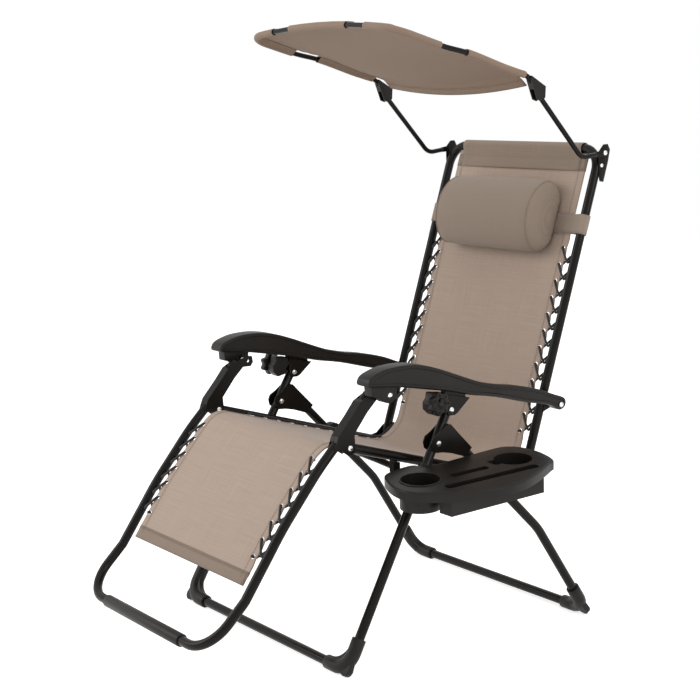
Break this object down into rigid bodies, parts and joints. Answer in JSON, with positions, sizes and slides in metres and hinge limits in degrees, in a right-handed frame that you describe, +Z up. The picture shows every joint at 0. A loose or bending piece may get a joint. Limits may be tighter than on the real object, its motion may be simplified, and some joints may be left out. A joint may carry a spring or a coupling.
{
  "type": "canopy lounge chair",
  "caption": "Folding reclining lounge chair with laced sling, sliding armrests, tilting canopy, head pillow and clip-on side tray.",
  "frame": {"origin": "centre of the bounding box in plan, at floor level", "axes": "+Z up, the sitter faces -Y, +X is the sitter's left, the side of the tray"},
  "size_m": [0.9088, 1.1526, 1.4276],
  "materials": {
    "painted_tube": "satin powder coat, dark brown black",
    "moulded_plastic": "fine moulded grain, dark brown black",
    "zinc_rivet": "bright zinc plate",
    "sling_fabric": "woven mesh sling, taupe",
    "canopy_fabric": "woven cloth, taupe",
    "pillow_fabric": "woven cover, taupe",
    "bungee_cord": "braided elastic cord, black"
  },
  "bodies": {
    "front_legs": {"front_leg_frame": "painted_tube", "front_foot_left": "moulded_plastic", "front_foot_right": "moulded_plastic", "leg_hinge_rivet_left": "zinc_rivet", "leg_hinge_rivet_right": "zinc_rivet", "slide_rivet_left": "zinc_rivet", "slide_rivet_right": "zinc_rivet"},
    "tray": {"side_tray": "moulded_plastic"},
    "rear_legs": {"rear_leg_frame": "painted_tube", "rear_foot_left": "moulded_plastic", "rear_foot_right": "moulded_plastic", "leg_hinge_bracket_left": "painted_tube", "leg_hinge_bracket_right": "painted_tube", "seat_pivot_spacer_left": "moulded_plastic", "seat_pivot_spacer_right": "moulded_plastic"},
    "seat": {"seat_rail_left": "painted_tube", "seat_rail_right": "painted_tube", "cross_bow": "painted_tube", "seat_sling": "sling_fabric", "seat_lacing_left": "bungee_cord", "seat_lacing_right": "bungee_cord"},
    "leg_rest": {"leg_rest_frame": "painted_tube", "footrest_sleeve": "moulded_plastic", "leg_rest_sling": "sling_fabric", "leg_rest_gusset_left": "painted_tube", "leg_rest_gusset_right": "painted_tube", "rail_front_rivet_left": "zinc_rivet", "rail_front_rivet_right": "zinc_rivet", "arm_front_rivet_left": "zinc_rivet", "arm_front_rivet_right": "zinc_rivet", "leg_rest_lacing_left": "bungee_cord", "leg_rest_lacing_right": "bungee_cord"},
    "back": {"back_frame": "painted_tube", "back_sling": "sling_fabric", "back_gusset_left": "painted_tube", "back_gusset_right": "painted_tube", "rail_rear_rivet_left": "zinc_rivet", "rail_rear_rivet_right": "zinc_rivet", "back_top_bracket_left": "painted_tube", "back_top_bracket_right": "painted_tube", "back_lacing_left": "bungee_cord", "back_lacing_right": "bungee_cord", "arm_rear_rivet_left": "zinc_rivet", "arm_rear_rivet_right": "zinc_rivet"},
    "armrest_left_body": {"armrest_left": "moulded_plastic"},
    "armrest_right_body": {"armrest_right": "moulded_plastic"},
    "lock_left_body": {"slide_bracket_left": "painted_tube", "lock_housing_left": "moulded_plastic"},
    "lock_right_body": {"slide_bracket_right": "painted_tube", "lock_housing_right": "moulded_plastic"},
    "knob_left_body": {"clamp_knob_left": "moulded_plastic"},
    "knob_right_body": {"clamp_knob_right": "moulded_plastic"},
    "canopy_arms": {"canopy_arm_left": "painted_tube", "canopy_arm_right": "painted_tube"},
    "canopy_head": {"canopy_frame": "painted_tube", "canopy_cloth": "canopy_fabric", "canopy_fitting_left": "moulded_plastic", "canopy_fitting_right": "moulded_plastic"},
    "pillow": {"head_pillow": "pillow_fabric", "pillow_strap": "pillow_fabric"}
  },
  "joints": [
    {"name": "rear_legs_fold", "type": "hinge", "parent": "front_legs", "child": "rear_legs", "pos_m": [-0.10342, 0.01324, 0.49], "axis": [-1, 0, 0], "range_deg": [0, 55]},
    {"name": "seat_tilt", "type": "hinge", "parent": "front_legs", "child": "seat", "pos_m": [-0.10342, 0.16724, 0.3949], "axis": [-1, 0, 0], "range_deg": [0, 14.04]},
    {"name": "recline", "type": "hinge", "parent": "seat", "child": "leg_rest", "pos_m": [-0.10342, -0.19876, 0.499], "axis": [-1, 0, 0], "range_deg": [0, 26]},
    {"name": "back_recline", "type": "hinge", "parent": "seat", "child": "back", "pos_m": [-0.10342, 0.29524, 0.3585], "axis": [-1, 0, 0], "range_deg": [0, 15.83]},
    {"name": "pillow_slide", "type": "slide", "parent": "back", "child": "pillow", "axis": [0, 0.2873, 0.9578], "range_m": [-0.02, 0.06]},
    {"name": "tray_slide", "type": "slide", "parent": "front_legs", "child": "tray", "axis": [-0.0331, 0.475, 0.8794], "range_m": [-0.06, 0]},
    {"name": "canopy_tilt", "type": "hinge", "parent": "back", "child": "canopy_arms", "pos_m": [-0.10342, 0.55624, 1.126], "axis": [-1, 0, 0], "range_deg": [-20, 90]},
    {"name": "canopy_head_tilt", "type": "hinge", "parent": "canopy_arms", "child": "canopy_head", "pos_m": [-0.10342, 0.33824, 1.262], "axis": [-1, 0, 0], "range_deg": [-40, 40]},
    {"name": "armrest_left_swing", "type": "hinge", "parent": "leg_rest", "child": "armrest_left_body", "pos_m": [0.20358, -0.11376, 0.612], "axis": [-1, 0, 0], "range_deg": [-27.43, 0]},
    {"name": "lock_left_swing", "type": "hinge", "parent": "front_legs", "child": "lock_left_body", "pos_m": [0.21258, 0.05214, 0.562], "axis": [-1, 0, 0], "range_deg": [0, 12.61]},
    {"name": "knob_left_turn", "type": "hinge", "parent": "lock_left_body", "child": "knob_left_body", "pos_m": [0.23658, 0.00524, 0.583], "axis": [1, 0, 0], "range_deg": [-180, 180]},
    {"name": "armrest_right_swing", "type": "hinge", "parent": "leg_rest", "child": "armrest_right_body", "pos_m": [-0.41042, -0.11376, 0.612], "axis": [-1, 0, 0], "range_deg": [-27.43, 0]},
    {"name": "lock_right_swing", "type": "hinge", "parent": "front_legs", "child": "lock_right_body", "pos_m": [-0.41942, 0.05214, 0.562], "axis": [-1, 0, 0], "range_deg": [0, 12.61]},
    {"name": "knob_right_turn", "type": "hinge", "parent": "lock_right_body", "child": "knob_right_body", "pos_m": [-0.44342, 0.00524, 0.583], "axis": [1, 0, 0], "range_deg": [-180, 180]}
  ],
  "couplings": [
    {"joint": "seat_tilt", "follows": "recline", "ratio": 0.54},
    {"joint": "back_recline", "follows": "recline", "ratio": 0.609},
    {"joint": "armrest_left_swing", "follows": "recline", "ratio": -1.055},
    {"joint": "lock_left_swing", "follows": "recline", "ratio": 0.485},
    {"joint": "armrest_right_swing", "follows": "recline", "ratio": -1.055},
    {"joint": "lock_right_swing", "follows": "recline", "ratio": 0.485}
  ]
}
